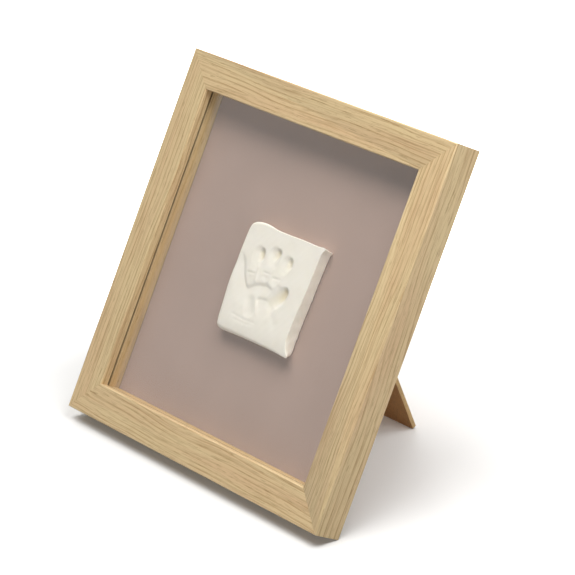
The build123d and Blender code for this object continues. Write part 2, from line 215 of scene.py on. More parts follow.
class OakSettings(bpy.types.PropertyGroup):
    """Colours and grain of the moulding and the spacers."""

    ground: colour("Ground", "Pale wood between the growth rings", "#E0C899")
    ring: colour("Growth ring", "Dark line at the end of a growth ring", "#AD8452")
    streak: colour("Streak", "Long dark streaks of the grain", "#B3946A")
    pore: colour("Pore", "Short dark pores", "#9E7A4A")
    blush: colour("Blush", "Pinkish patches of the veneer print", "#DAB68C")
    ring_spacing: length("Ring spacing", "Distance between growth rings", 2.4)
    streak_length: length("Streak length", "Length of a streak along the grain", 60)
    streak_width: length("Streak width", "Width of a streak", 1.1)
    pore_length: length("Pore length", "Length of a pore along the grain", 9)
    pore_width: length("Pore width", "Width of a pore", 0.4)
    edge: length("Edge", "Radius to which the foil wraps the corners", 0.25)
    # Painted shade: how dark the spacers are painted at the card.
    wall_shade: number("Painted wall shade", "Brightness of the spacers at the card", 0.72)
    # Painted shadow: how dark the gaps at the glass and at the card are painted.
    gap: number("Gap", "Brightness of the dark gaps along the spacers", 0.45)


class GlazingSettings(bpy.types.PropertyGroup):
    """The pane, the card behind it and the pads on the card."""

    glass: colour("Glass", "Faint tint of float glass", "#FEFEFE")
    card: colour("Card", "Taupe face of the backing card", "#AD9385")
    card_fibre: colour("Card fibre", "Darker fibres in the card", "#A08778")
    fibre: length("Fibre size", "Size of the flecks in the card", 0.9)
    foam: colour("Foam", "Foam of the adhesive pads", "#EDEBE4")
    foam_cell: colour("Foam cell", "Shade in the cells of the foam", "#959590")


class ClaySettings(bpy.types.PropertyGroup):
    """The slab of clay and the handprint in it."""

    clay: colour("Clay", "Air-dried white clay", "#FEF8E9")
    # Painted shade: a warm, darker tint laid into the deep hollows of the print; random clouds of the clay
    # use it too.
    hollow: colour("Hollow shade", "Painted warm shade at the bottom of the print", "#E9DDBB")
    front: length("Front", "How far the clay's face lies behind the front of the frame", 8.7)
    back: length("Back", "How far the clay's back lies behind the front of the frame", 17.2)
    unevenness: length("Unevenness", "How far the hand-rolled face rises and falls", 0.16)
    grit: length("Grit", "Size of the grains that show in the surface", 0.7)
    print_depth: number("Print depth", "Depth of the print, as a share", 0.6)
    cells: IntProperty(name="Cells", description="Mesh cells along each side of the slab", min=8, default=150)


class BackSettings(bpy.types.PropertyGroup):
    """Fibreboard, steel and brass at the back of the frame."""

    board_face: colour("Board face", "Smooth pressed face of the fibreboard", "#D2A169")
    board_fibre: colour("Board fibre", "Dark fibres in the face", "#A97E50")
    board_edge: colour("Board edge", "Sawn edge of the fibreboard", "#E3C08A")
    fibre_length: length("Fibre length", "Length of a fibre", 3.2)
    fibre_width: length("Fibre width", "Width of a fibre", 0.5)
    zinc: colour("Zinc", "Bright zinc plating", "#C9CCCB")
    brass: colour("Brass", "Brass plating", "#D3AE66")
    rivet: colour("Rivet", "Nickel plating", "#CFC9BE")
    plate_edge: length("Plate edge", "Radius of the stamped edges", 0.15)
    recess_reach: length("Recess reach", "Half the span of the cross in a screw's head", 1.55)
    recess_width: length("Recess width", "Half the width of an arm of the cross", 0.36)
    recess_depth: length("Recess depth", "Depth of the cross", 0.85)


class StageSettings(bpy.types.PropertyGroup):
    """Floor, lamps and camera."""

    floor: colour("Floor", "Matt white floor", "#EBEBEA")
    floor_reach: length("Floor reach", "Half the floor's side", 12000)
    floor_glow: number("Floor glow", "Light that the floor adds near the frame", 0.08)
    glow_start: length("Glow start", "Distance from the floor's middle at which the glow grows", 190)
    glow_end: length("Glow end", "Distance at which the floor is white", 320)
    floor_return: number("Floor return", "Share of light thrown back up", 0.5)
    surround: number("Surround", "Soft light from all round", 0.05)
    surround_tint: colour("Surround tint", "Warm walls of the studio", "#FFF3E4")
    softboxes: number("Softboxes", "Strength of the near lamps, as a share", 1)
    far_lamps: number("Far lamps", "Strength of the far lamps, as a share", 1)
    far_width: angle("Far width", "Angle that each far lamp fills", 30)
    azimuth: angle("Azimuth", "How far the camera stands to the right", 49.85)
    elevation: angle("Elevation", "How far the camera looks down", 21.82)
    camera_place: FloatVectorProperty(
        name="Camera",
        description="Where the camera stands",
        subtype="TRANSLATION",
        default=(1.34878, -1.13655, 0.81614),
    )
    lens: FloatProperty(name="Lens", description="Focal length, 36 mm sensor", unit="CAMERA", default=187.59)


def corners(node):
    """The corners of a CAD node, one to a row."""
    return np.array([corner.co for corner in nodes[node].data.vertices])


def reach(points, direction):
    """The lowest and the highest place of the points in a direction."""
    places = points @ np.array(direction)
    return places.min(), places.max()


def face_matrix():
    """Takes millimetres across, up and out of the frame's front, from its middle, to the row frame."""
    points = np.vstack([corners(name) for name in RAILS])
    middle = ACROSS * (sum(reach(points, ACROSS)) / 2) + UP * (sum(reach(points, UP)) / 2)
    origin = middle + BACK * reach(points, BACK)[0]
    turn = Matrix((ACROSS, UP, -BACK)).transposed().to_4x4()
    return Matrix.Translation(origin) @ turn @ Matrix.Scale(MM, 4)


def broad_side(node):
    """The outward direction of a board's largest face on the far side of the frame."""
    rear = [face for face in nodes[node].data.polygons if face.normal.y > 0]
    return max(rear, key=lambda face: face.area).normal.copy()


ACROSS = Vector((1, 0, 0))
BACK = Vector(next(joint["axis"] for joint in frame["joints"] if joint["child"] == "right_upper_button"))
UP = ACROSS.cross(BACK)
GRAIN = {"across": (ACROSS, UP, -BACK), "upright": (UP, -ACROSS, -BACK)}


def finish(name):
    """A new material with an empty node tree."""
    material = bpy.data.materials.new(name)
    material.use_nodes = True
    material.node_tree.nodes.clear()
    return material, material.node_tree


def add(tree, kind, inputs=None, take=0, **settings):
    """Adds a shader node with its settings, and gives the output to take, or the node where that is None.

    An input takes a value, or the socket that feeds it.
    """
    node = tree.nodes.new("ShaderNode" + kind)
    for field, value in settings.items():
        setattr(node, field, value)
    for socket, value in (inputs or {}).items():
        if isinstance(value, bpy.types.NodeSocket):
            tree.links.new(value, node.inputs[socket])
        else:
            node.inputs[socket].default_value = value
    return node if take is None else node.outputs[take]


def dress(node, material, edge=0.0):
    """Gives a CAD node its material, and rounds its edges."""
    obj = nodes[node]
    obj.data.materials.clear()
    obj.data.materials.append(material)
    if edge:
        weld = obj.modifiers.new("close the seams", "WELD")
        weld.merge_threshold = 1e-6
        bevel = obj.modifiers.new("round the edges", "BEVEL")
        bevel.width = edge
        bevel.segments = 3
        bevel.limit_method = "ANGLE"
        bevel.angle_limit = math.radians(35)
        bevel.harden_normals = True


def solid(name, points, faces, material, body, node):
    """A new smooth piece, in metres in the row frame, that stands for a CAD node and rides on its body."""
    mesh = bpy.data.meshes.new(name)
    mesh.from_pydata([tuple(point) for point in points], [], faces)
    shape = bmesh.new()
    shape.from_mesh(mesh)
    bmesh.ops.recalc_face_normals(shape, faces=shape.faces)
    shape.to_mesh(mesh)
    shape.free()
    mesh.shade_smooth()
    mesh.materials.append(material)
    obj = bpy.data.objects.new(name, mesh)
    bpy.context.scene.collection.objects.link(obj)
    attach(obj, body)
    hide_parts(node)
    return obj


def surfaced(material, surface):
    """Ends a material with one surface over all its patterns, and gives it back."""
    tree = material.node_tree
    shader = add(tree, "BsdfPrincipled", surface)
    add(tree, "OutputMaterial", {"Surface": shader}, take=None)
    return material


def long_marks(tree, place, long, thick, detail=2, roughness=0.5, take=0):
    """Noise drawn out into marks as long and as thick as given, in metres."""
    stretched = add(tree, "Mapping", {"Vector": place, "Scale": (1 / long, 1 / thick, 1 / thick)})
    look = {"Vector": stretched, "Scale": 1, "Detail": detail, "Roughness": roughness}
    return add(tree, "TexNoise", look, take)


def painted_spacer_shade(tree, place, wood, oak):
    """The spacers' wood with painted shade: duller and richer towards the card, and painted shadows in the
    gaps at the glass and the card.
    """
    front = FACE.translation.dot(BACK)
    depth = add(tree, "VectorMath", {0: place, 1: BACK}, operation="DOT_PRODUCT", take="Value")
    shades = []
    for (near, far), first, last in (
        (SHADE_SPAN, 1.0, CARD_SHADE_SATURATION),
        (SHADE_SPAN, 1.0, oak.wall_shade),
        (GLASS_GAP_SHADOW, oak.gap, 1.0),
        (CARD_GAP_SHADOW, 1.0, oak.gap),
    ):
        span = {0: depth, 1: front + near, 2: front + far, 3: first, 4: last}
        shades.append(add(tree, "MapRange", span))
    shade_saturation, tone, *gaps = shades
    # Painted shadow lines in the gaps darken the tone.
    for gap in gaps:
        tone = add(tree, "Math", {0: tone, 1: gap}, operation="MULTIPLY")
    return add(tree, "HueSaturation", {"Color": wood, "Saturation": shade_saturation, "Value": tone})


def oak_foil(name, grain, oak, figure, walls=False):
    """Oak-print foil: printed rings, as strong as the figure, streaks, and embossed pores, satin in look."""
    material, tree = finish(name)
    place = add(tree, "TexCoord", take="Object")
    turned = add(tree, "Mapping", {"Vector": place, "Rotation": Matrix(GRAIN[grain]).to_euler()})

    # A slow drift bends the grain by a millimetre or two over a hand's width.
    drift = long_marks(tree, turned, 111.1 * MM, 25 * MM, take="Color")
    centred = add(tree, "VectorMath", {0: drift, 1: (0.5, 0.5, 0.5)}, operation="SUBTRACT")
    bend = add(tree, "VectorMath", {0: centred, 1: (0, 7 * MM, 7 * MM)}, operation="MULTIPLY")
    bent = add(tree, "VectorMath", {0: turned, 1: bend}, operation="ADD")

    # Rings round a heart that runs a little askew. They come and go along the grain.
    heart = (0, (-97 if grain == "across" else 4) * MM, 2 * MM)
    askew = add(tree, "Mapping", {"Vector": bent, "Location": heart, "Rotation": (0, 0.012, 0.02)})
    stretched = add(tree, "Mapping", {"Vector": askew, "Scale": (0.12, 1, 1)})
    waves = {"Vector": stretched, "Scale": WAVE_LENGTH / oak.ring_spacing}
    rings = add(
        tree,
        "TexWave",
        {**waves, "Distortion": 5.0, "Detail": 2, "Detail Scale": 0.35},
        take="Fac",
        wave_type="RINGS",
        rings_direction="X",
        wave_profile="SAW",
    )
    ring_line = add(tree, "MapRange", {0: rings, 1: 0.6, 2: 0.96}, interpolation_type="SMOOTHSTEP")
    fade = long_marks(tree, bent, 45.45 * MM, 3.846 * MM)
    fade = add(tree, "MapRange", {0: fade, 1: 0.36, 2: 0.62, 3: 0.15 * figure, 4: figure})
    ring_share = add(tree, "Math", {0: ring_line, 1: fade}, operation="MULTIPLY")

    streaks = long_marks(tree, bent, oak.streak_length, oak.streak_width, 3, 0.55)
    streaks = add(tree, "MapRange", {0: streaks, 1: 0.49, 2: 0.64}, interpolation_type="SMOOTHSTEP")
    streak_share = add(tree, "Math", {0: streaks, 1: 0.42}, operation="MULTIPLY")

    # Real pores are about 0.2 mm wide; they are drawn twice as wide, or they would not show.
    pores = long_marks(tree, bent, oak.pore_length, oak.pore_width)
    pores = add(tree, "MapRange", {0: pores, 1: 0.55, 2: 0.68}, interpolation_type="SMOOTHSTEP")
    near_ring = add(tree, "MapRange", {0: rings, 3: 0.3, 4: 1.0})
    pores = add(tree, "Math", {0: pores, 1: near_ring}, operation="MULTIPLY")
    pore_share = add(tree, "Math", {0: pores, 1: 0.75}, operation="MULTIPLY")

    patches = long_marks(tree, bent, 111.1 * MM, 11.11 * MM)
    patch_share = add(tree, "MapRange", {0: patches, 1: 0.4, 2: 0.7, 4: 0.6})

    wood = oak.ground
    for amount, tint in (
        (patch_share, oak.blush),
        (ring_share, oak.ring),
        (streak_share, oak.streak),
        (pore_share, oak.pore),
    ):
        wood = add(tree, "Mix", {0: amount, 6: wood, 7: tint}, data_type="RGBA", take=2)
    # The spacers' walls get painted shade towards the card and painted shadows in the gaps at the glass and
    # the card.
    if walls:
        wood = painted_spacer_shade(tree, place, wood, oak)

    dull = add(tree, "MapRange", {0: streaks, 3: 0.46, 4: 0.6})
    relief = add(tree, "Math", {0: streaks, 1: 0.35, 2: pores}, operation="MULTIPLY_ADD")
    emboss = add(tree, "Bump", {"Height": relief, "Strength": 0.5, "Distance": 0.08 * MM}, invert=True)
    surface = {"Base Color": wood, "Roughness": dull, "IOR": 1.5, "Normal": emboss}
    return surfaced(material, surface)


def float_glass(glazing):
    """Anti-glare float glass: sharp, nearly colourless and almost without reflections."""
    material, tree = finish("clear_float_glass")
    path = add(tree, "LightPath", take=None)
    clear = {"Base Color": glazing.glass, "Roughness": 0.0, "IOR": 1.52, "Transmission Weight": 1.0}
    pane = add(tree, "BsdfPrincipled", {**clear, "Specular IOR Level": 0.08})
    # Lamps, and light that has left a matt surface, pass straight through, so that the card is lit
    # as through a real pane.
    open_air = add(tree, "BsdfTransparent", {"Color": glazing.glass})
    rays = {0: path.outputs["Is Shadow Ray"], 1: path.outputs["Diffuse Depth"]}
    passes = add(tree, "Math", rays, operation="ADD", use_clamp=True)
    mixed = add(tree, "MixShader", {0: passes, 1: pane, 2: open_air})
    add(tree, "OutputMaterial", {"Surface": mixed}, take=None)
    return material


def uncoated_card(glazing):
    """Dyed uncoated card: dead matt, with fine flecks of fibre."""
    material, tree = finish("dyed_uncoated_card")
    place = add(tree, "TexCoord", take="Object")
    flecks = add(tree, "TexNoise", {"Vector": place, "Scale": 1 / glazing.fibre, "Detail": 3})
    clouds = add(tree, "TexNoise", {"Vector": place, "Scale": 1 / (41.67 * MM), "Detail": 2})
    share = add(tree, "Math", {0: flecks, 1: clouds}, operation="MULTIPLY")
    share = add(tree, "MapRange", {0: share, 1: 0.12, 2: 0.42, 4: 0.6})
    face = add(tree, "Mix", {0: share, 6: glazing.card, 7: glazing.card_fibre}, data_type="RGBA", take=2)
    tooth = add(tree, "Bump", {"Height": flecks, "Strength": 0.04, "Distance": 0.05 * MM})
    surface = {"Base Color": face, "Roughness": 0.92, "IOR": 1.45, "Normal": tooth}
    return surfaced(material, surface)


def foam_tape(glazing):
    """Closed-cell polyethylene foam tape: white, soft, with fine cells."""
    material, tree = finish("closed_cell_foam")
    place = add(tree, "TexCoord", take="Object")
    cells = add(tree, "TexVoronoi", {"Vector": place, "Scale": 1 / (0.4 * MM)}, take="Distance")
    share = add(tree, "MapRange", {0: cells, 1: 0.2, 2: 0.8, 3: 0.0, 4: 0.12})
    face = add(tree, "Mix", {0: share, 6: glazing.foam, 7: glazing.foam_cell}, data_type="RGBA", take=2)
    dents = add(tree, "Bump", {"Height": cells, "Strength": 0.4, "Distance": 0.1 * MM})
    return surfaced(material, {"Base Color": face, "Roughness": 0.8, "IOR": 1.5, "Normal": dents})


def dried_clay(clay):
    """White air-drying clay, pressed by hand: chalky, with a faint grit, a painted warm shade in the hollows
    and random warmer clouds.
    """
    material, tree = finish("air_dried_clay")
    place = add(tree, "TexCoord", take="Object")
    depth = add(tree, "Attribute", attribute_name="pressed", take="Fac")
    # Painted shade: the deeper the press, the more of the warm hollow colour is laid in.
    painted_hollow_shade = add(tree, "MapRange", {0: depth, 1: 0.7, 2: 2.2, 4: 0.9})
    clouds = add(tree, "TexNoise", {"Vector": place, "Scale": 1 / (11.11 * MM), "Detail": 3})
    cloud_share = add(tree, "MapRange", {0: clouds, 1: 0.4, 2: 0.75, 4: 0.12})
    body = add(tree, "Mix", {0: painted_hollow_shade, 6: clay.clay, 7: clay.hollow}, data_type="RGBA", take=2)
    body = add(tree, "Mix", {0: cloud_share, 6: body, 7: clay.hollow}, data_type="RGBA", take=2)
    grit = add(tree, "TexNoise", {"Vector": place, "Scale": 1 / clay.grit, "Detail": 4, "Roughness": 0.6})
    chalk = add(tree, "MapRange", {0: grit, 3: 0.78, 4: 0.92})
    skin = add(tree, "Bump", {"Height": grit, "Strength": 0.25, "Distance": 0.1 * MM})
    surface = {
        "Base Color": body,
        "Roughness": chalk,
        "IOR": 1.5,
        "Specular IOR Level": 0.2,
        "Subsurface Weight": 0.12,
        "Subsurface Radius": (1.0, 0.8, 0.55),
        "Subsurface Scale": 1 * MM,
        "Normal": skin,
    }
    return surfaced(material, surface)


def pressed_fibreboard(name, broad, along, back):
    """Hardboard: fibres pressed to a smooth brown face, and a paler, rougher edge where the saw went."""
    material, tree = finish(name)
    coordinates = add(tree, "TexCoord", take=None)
    side = broad.cross(along)
    laid = Matrix((along, side, -broad)).to_euler()
    turned = add(tree, "Mapping", {"Vector": coordinates.outputs["Object"], "Rotation": laid})
    tangle = add(tree, "TexNoise", {"Vector": turned, "Scale": 1 / (6.25 * MM), "Detail": 1}, take="Color")
    tangle = add(tree, "VectorMath", {0: tangle, "Scale": 4 * MM}, operation="SCALE")
    tangled = add(tree, "VectorMath", {0: turned, 1: tangle}, operation="ADD")
    fibres = long_marks(tree, tangled, back.fibre_length, back.fibre_width, 3, 0.6)
    span = {0: fibres, 1: 0.42, 2: 0.72, 4: 0.75}
    fibre_share = add(tree, "MapRange", span, interpolation_type="SMOOTHSTEP")
    clouds = add(tree, "TexNoise", {"Vector": turned, "Scale": 1 / (22.22 * MM), "Detail": 2})
    cloud_value = add(tree, "MapRange", {0: clouds, 1: 0.3, 2: 0.7, 3: 0.9, 4: 1.1})
    pair = {0: coordinates.outputs["Normal"], 1: broad}
    facing = add(tree, "VectorMath", pair, operation="DOT_PRODUCT", take="Value")
    facing = add(tree, "Math", {0: facing}, operation="ABSOLUTE")
    sawn = add(tree, "MapRange", {0: facing, 1: 0.9, 2: 0.6})
    edge_share = add(tree, "Math", {0: fibre_share, 1: 0.5}, operation="MULTIPLY")
    pale, edge_pale, dark = back.board_face, back.board_edge, back.board_fibre
    face = add(tree, "Mix", {0: fibre_share, 6: pale, 7: dark}, data_type="RGBA", take=2)
    edge = add(tree, "Mix", {0: edge_share, 6: edge_pale, 7: dark}, data_type="RGBA", take=2)
    board = add(tree, "Mix", {0: sawn, 6: face, 7: edge}, data_type="RGBA", take=2)
    board = add(tree, "HueSaturation", {"Color": board, "Value": cloud_value})
    dull = add(tree, "MapRange", {0: sawn, 3: 0.55, 4: 0.85})
    nap = add(tree, "Bump", {"Height": fibres, "Strength": 0.35, "Distance": 0.1 * MM})
    return surfaced(material, {"Base Color": board, "Roughness": dull, "IOR": 1.5, "Normal": nap})


def plated_metal(name, plating, smooth, dull, scuff):
    """Stamped sheet, barrel-plated: bright metal with a cloudy bloom and fine tumbling scratches."""
    material, tree = finish(name)
    place = add(tree, "TexCoord", take="Object")
    bloom = add(tree, "TexNoise", {"Vector": place, "Scale": 1 / (2.381 * MM), "Detail": 3})
    # Tumbling scratches are a few hundredths of a millimetre wide; they are drawn at 0.3 mm.
    thin, long = 0.3125 * MM, 3.846 * MM
    lie = {"Vector": place, "Rotation": (0.4, 0.7, 0.9), "Scale": (1 / thin, 1 / long, 1 / thin)}
    scratch_place = add(tree, "Mapping", lie)
    scratches = add(tree, "TexNoise", {"Vector": scratch_place, "Scale": 1, "Detail": 2})
    gloss = add(tree, "MapRange", {0: bloom, 1: 0.3, 2: 0.7, 3: smooth, 4: dull})
    tarnish = add(tree, "MapRange", {0: bloom, 1: 0.4, 2: 0.8, 3: 1.0, 4: scuff})
    tone = add(tree, "HueSaturation", {"Color": plating, "Value": tarnish})
    marks = add(tree, "Bump", {"Height": scratches, "Strength": 0.15, "Distance": 0.03 * MM})
    surface = {"Base Color": tone, "Metallic": 1.0, "Roughness": gloss, "Normal": marks}
    return surfaced(material, surface)


def nearest(across, up, start, end):
    """Each point's nearest place along a run, as a share, how far off it is, and if it lies on the right."""
    run = np.subtract(end[:2], start[:2])
    right, high = across - start[0], up - start[1]
    share = np.clip((right * run[0] + high * run[1]) / (run @ run), 0, 1)
    away = np.hypot(right - share * run[0], high - share * run[1])
    return share, away, run[0] * high - run[1] * right < 0


def press_depth(across, up, path):
    """How deep one press is at each point."""
    depth = np.zeros_like(across)
    # The hollow's section runs out a little more softly than a parabola.
    section = 1.25
    for start, end in zip(path, path[1:]):
        share, away, _ = nearest(across, up, start, end)
        width = start[2] + (end[2] - start[2]) * share
        deep = start[3] + (end[3] - start[3]) * share
        depth = np.maximum(depth, deep * np.clip(1 - (away / width) ** 2, 0, 1) ** section)
    return depth


def pad_depth(across, up, line, span, deep):
    """How deep a pad is at each point: deepest at its line, with a long rise below and shallow ends."""
    off = np.full_like(across, np.inf)
    below = np.zeros(across.shape, bool)
    place = np.zeros_like(across)
    steps = [math.dist(start, end) for start, end in zip(line, line[1:])]
    for count, (start, end) in enumerate(zip(line, line[1:])):
        share, away, side = nearest(across, up, start, end)
        closer = away < off
        off, below = np.where(closer, away, off), np.where(closer, side, below)
        place = np.where(closer, (sum(steps[:count]) + share * steps[count]) / sum(steps), place)
    rise = np.where(below, np.clip(1 - off / span, 0, 1) ** PAD_CURVE, np.exp(-((off / PAD_EDGE) ** 2)))
    ends = np.clip(np.minimum(place, 1 - place) / PAD_RUN_OUT, 0, 1)
    return deep * rise * ends * ends * (3 - 2 * ends)


def crease_height(across, up, line, half_width, height):
    """A soft ridge, or a groove where height is below zero, along a line."""
    away = np.full_like(across, np.inf)
    for start, end in zip(line, line[1:]):
        away = np.minimum(away, nearest(across, up, start, end)[1])
    return height * np.exp(-((away / half_width) ** 2))


def print_depth(across, up):
    """Depth of the whole handprint at each point. Neighbouring presses run into each other softly."""
    total = np.zeros_like(across)
    softness = 2.4
    for path in PRESSES.values():
        total += np.expm1(softness * press_depth(across, up, path))
    for pad in PADS.values():
        total += np.expm1(softness * pad_depth(across, up, *pad))
    depth = np.log1p(total) / softness
    for crease in CREASES:
        depth -= crease_height(across, up, *crease)
    return depth


def soft_print_depth(across, up):
    """The print, smoothed over 0.4 mm each way, as wet clay would be."""
    offsets = ((0, 0), (0.4, 0), (-0.4, 0), (0, 0.4), (0, -0.4))
    return sum(print_depth(across + right, up + high) for right, high in offsets) / len(offsets)


def slump(across, up):
    """How far the slab's face sags towards its lower and left edges, in millimetres."""
    # The lower edge sags from 25 mm below the middle, and the left edge from 23 mm left of it.
    low = np.clip((-25 - up) / 11, 0, 1.2)
    left = np.clip((-23 - across) / 7, 0, 1.2) * np.clip((8 - up) / 20, 0, 1)
    return 0.9 * low**2 + 0.9 * left**2


def unevenness(across, up):
    """Slow swell of hand-rolled clay, from about -1 to 1."""
    swells = (high * np.sin(a * across + b * up + start) for a, b, start, high in SWELLS)
    return sum(swells) / sum(high for *_, high in SWELLS)


def slab_outline(per_side):
    """A smooth closed line through the stations of the outline, with per_side points on each side."""
    knots = np.array(SLAB_OUTLINE)
    closed = np.vstack([knots, knots[:1]])
    step = np.linalg.norm(np.diff(closed[:, :2], axis=0), axis=1)
    run = np.concatenate([[0], np.cumsum(step)])
    slope = (np.roll(knots, -1, 0) - np.roll(knots, 1, 0)) / (step + np.roll(step, 1))[:, None]
    slope = np.vstack([slope, slope[:1]])
    ends = [*run[list(SLAB_CORNERS)], run[-1]]
    sides = [np.linspace(start, end, per_side, endpoint=False) for start, end in zip(ends, ends[1:])]
    where = np.concatenate(sides)
    index = np.clip(np.searchsorted(run, where, side="right") - 1, 0, len(knots) - 1)
    span = step[index][:, None]
    share = (where - run[index])[:, None] / span
    return (
        (2 * share**3 - 3 * share**2 + 1) * closed[index]
        + (share**3 - 2 * share**2 + share) * span * slope[index]
        + (3 * share**2 - 2 * share**3) * closed[index + 1]
        + (share**3 - share**2) * span * slope[index + 1]
    )


def slab_grid(rim, cells):
    """Points inside a closed line of four sides, in rows from the bottom to the top."""
    bottom, right = rim[: cells + 1], rim[cells : 2 * cells + 1]
    top, left = rim[2 * cells : 3 * cells + 1][::-1], np.vstack([rim[3 * cells :], rim[:1]])[::-1]
    high = np.linspace(0, 1, cells + 1)[:, None, None]
    wide = np.linspace(0, 1, cells + 1)[None, :, None]
    return (
        (1 - high) * bottom[None]
        + high * top[None]
        + (1 - wide) * left[:, None]
        + wide * right[:, None]
        - (1 - high) * ((1 - wide) * bottom[0] + wide * bottom[-1])
        - high * ((1 - wide) * top[0] + wide * top[-1])
    ).reshape(-1, 2)


def slab_faces(cells, loops):
    """Faces of the slab's grid, of the loops of points round it, and of the back round its middle point."""
    row = cells + 1
    faces = []
    for start in range(0, cells * row, row):
        faces += [(i, i + 1, i + row + 1, i + row) for i in range(start, start + cells)]
    ring = [*range(cells), *range(cells, cells * row, row), *range(cells * row + cells, cells * row, -1)]
    ring += range(cells * row, 0, -row)
    first = row * row
    for _ in range(loops):
        following = list(range(first, first + 4 * cells))
        faces += [(ring[i - 1], ring[i], following[i], following[i - 1]) for i in range(4 * cells)]
        ring, first = following, first + 4 * cells
    return faces + [(ring[i - 1], ring[i], first) for i in range(4 * cells)]


def clay_slab(clay):
    """Points, faces and press depths of the slab: pressed front, rounded rim, uneven wall and flat back."""
    cells = clay.cells
    outline = slab_outline(cells)
    front, back, rim = outline[:, :2], outline[:, 2:4], outline[:, 4:]
    tangent = np.roll(front, -1, 0) - np.roll(front, 1, 0)
    normal = np.column_stack([tangent[:, 1], -tangent[:, 0]]) / np.linalg.norm(tangent, axis=1)[:, None]
    inset = front - normal * rim
    thickness = (clay.back - clay.front) / MM

    loops = [(slab_grid(inset, cells), np.zeros(((cells + 1) ** 2, 1)))]
    for turn in np.radians((18, 36, 54, 72, 90)):
        loops.append((inset + normal * rim * math.sin(turn), rim * (1 - math.cos(turn))))
    # Below the rim the walls swell, fully from 3 mm down.
    for share in np.linspace(0, 1, 9)[1:]:
        drop = rim + (thickness - BACK_ROUND - rim) * share
        wave = unevenness(front[:, :1] * 1.7 + drop * 2.1, front[:, 1:] * 1.9) * np.clip(drop / 3, 0, 1)
        loops.append((front + (back - front) * drop / thickness + normal * wave * WALL_SWELL, drop))
    loops.append((back - normal * BACK_ROUND, np.full_like(rim, thickness)))
    loops.append((back.mean(0, keepdims=True), np.array([[thickness]])))

    flat = np.vstack([place for place, _ in loops])
    drop = np.vstack([deep for _, deep in loops])[:, 0]
    pressed = soft_print_depth(flat[:, 0], flat[:, 1]) * clay.print_depth
    rolled = (unevenness(flat[:, 0], flat[:, 1]) + 1) / 2 * clay.unevenness / MM
    facing = np.clip(1 - drop / WRAP_DEPTH, 0, 1)
    out = -clay.front / MM - drop - (pressed + slump(flat[:, 0], flat[:, 1]) + rolled) * facing
    points = [FACE @ Vector(place) for place in np.column_stack([flat, out])]
    return points, slab_faces(cells, len(loops) - 2), pressed * facing


def cross_recess(across, up, back):
    """Depth of the cross in a screw's head."""
    cross = np.zeros_like(across)
    for one, other in ((across, up), (up, across)):
        # Its walls lean in over 0.12 mm, and its ends over 0.5 mm.
        wall = (back.recess_width - abs(one)) / (0.12 * MM)
        end = (back.recess_reach - abs(other)) / (0.5 * MM)
        cross = np.maximum(cross, np.clip(np.minimum(wall, end), 0, 1))
    return cross * back.recess_depth


def no_recess(across, up):
    """A rivet's head has nothing cut into it."""
    return np.zeros_like(across)


def turned_solids(node, outward, gap):
    """A CAD node's round solids: the middle of each head's top, the radii of head and shank, the length.

    Corners that lie nearer to the first one than the gap belong to one solid.
    """
    left = corners(node)
    found = []
    while len(left):
        near = np.linalg.norm(left - left[0], axis=1) < gap
        points, left = left[near], left[~near]
        low, high = reach(points, outward)
        places = points @ np.array(outward)
        top, tail = points[places > high - 1e-5], points[places < low + 1e-5]
        middle = (top.min(0) + top.max(0)) / 2
        foot = (tail.min(0) + tail.max(0)) / 2
        head = np.linalg.norm(top - middle, axis=1).max()
        shank = np.linalg.norm(tail - foot, axis=1).max()
        found.append((Vector(middle), head, shank, high - low))
    return found


def pin_rings(head, shank, whole, head_height):
    """Radius and height of a pin's rings, from the middle of its dome over the rolled rim to the tail."""
    # The dome falls by nearly half the head's height, the rim rolls on to 0.6 of it, and the tail tapers.
    dome = np.linspace(0, 1, 22)[1:] * head * DOME_SHARE
    rings = [(radius, -head_height * 0.55 * (radius / head) ** 2.4) for radius in dome]
    for turn in np.radians((30, 60, 90)):
        radius = head * (DOME_SHARE + (1 - DOME_SHARE) * math.sin(turn))
        rings.append((radius, -head_height * (0.46 + 0.14 * (1 - math.cos(turn)))))
    rings += [(head, -head_height), (shank, -head_height), (shank, -whole * 0.92), (shank * 0.8, -whole)]
    return rings


def headed_pins(node, outward, gap, head_height, recess):
    """Points and faces of screws or rivets with domed heads, each where its CAD solid is."""
    points, faces = [], []
    segments = 64
    angles = np.arange(segments) * 2 * math.pi / segments
    for count, (middle, head, shank, whole) in enumerate(turned_solids(node, outward, gap)):
        stand = Matrix.Translation(middle) @ outward.to_track_quat("Z", "Y").to_matrix().to_4x4()
        stand = stand @ Matrix.Rotation(0.5 + 1.9 * count, 4, "Z")
        base = len(points)
        points.append(stand @ Vector((0, 0, -recess(np.zeros(1), np.zeros(1))[0])))
        rings = pin_rings(head, shank, whole, head_height)
        for radius, height in rings:
            across, up = radius * np.cos(angles), radius * np.sin(angles)
            sunk = recess(across, up) if radius < head * DOME_SHARE else 0 * across
            points += [stand @ Vector(place) for place in zip(across, up, height - sunk)]
        points.append(stand @ Vector((0, 0, -whole)))
        faces += [(base, base + 1 + i, base + 1 + (i + 1) % segments) for i in range(segments)]
        for ring in range(len(rings) - 1):
            start = base + 1 + ring * segments
            for i in range(segments):
                j = (i + 1) % segments
                faces.append((start + i, start + segments + i, start + segments + j, start + j))
        last = base + 1 + (len(rings) - 1) * segments
        faces += [(last + i, len(points) - 1, last + (i + 1) % segments) for i in range(segments)]
    return points, faces


def seen_rays(tree):
    """1 for rays that are seen, straight, mirrored or through glass, and 0 for rays that carry light."""
    rays = add(tree, "LightPath", take=None).outputs
    straight = add(tree, "Math", {0: rays["Is Camera Ray"], 1: rays["Is Glossy Ray"]}, operation="ADD")
    return add(tree, "Math", {0: straight, 1: rays["Is Transmission Ray"]}, operation="ADD", use_clamp=True)


